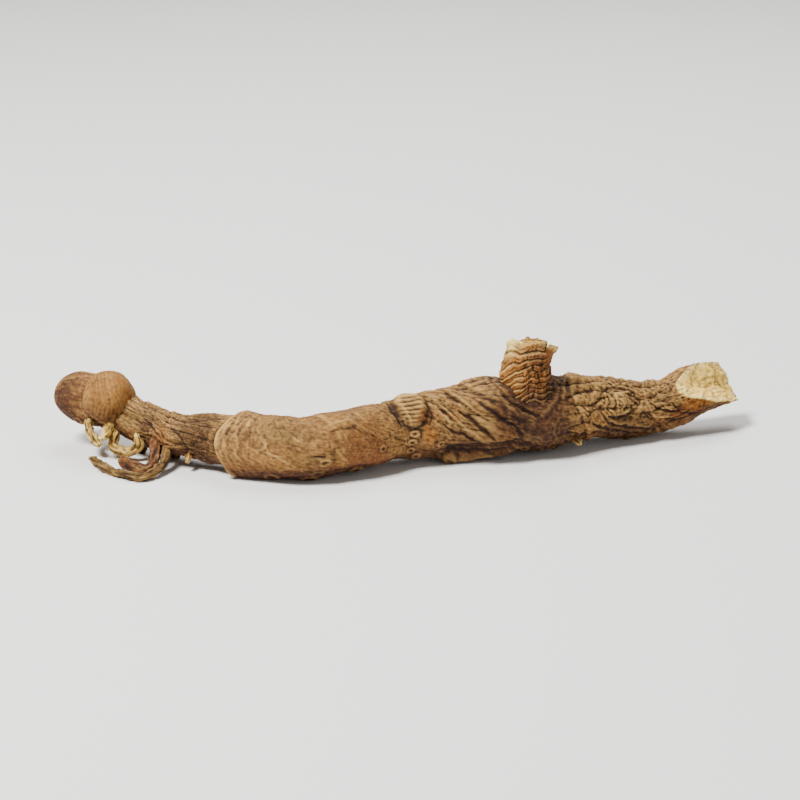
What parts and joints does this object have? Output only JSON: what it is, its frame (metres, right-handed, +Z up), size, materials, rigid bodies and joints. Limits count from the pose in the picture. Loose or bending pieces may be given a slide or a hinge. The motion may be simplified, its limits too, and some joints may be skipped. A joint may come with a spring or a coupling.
{
  "type": "sweet flag root",
  "caption": "Long knobbly dried rhizome with a broken upright shoot stub, a rounded side bud at one end, slanting leaf-scar ridges and stubs of rootlets.",
  "frame": {"origin": "on the surface that the root lies on, below the middle of its bounding box", "axes": "+X along the root, from its rounded end with the side bud to its pale broken end; +Y to the side towards which both ends bow; +Z up, the way the shoot stub stands"},
  "size_m": [0.1338, 0.041, 0.0236],
  "materials": {
    "bark": "dry, matt, ochre-brown and wrinkled, with paler ridges and a cream broken end"
  },
  "bodies": {
    "root": {"rhizome": "bark"}
  },
  "joints": []
}
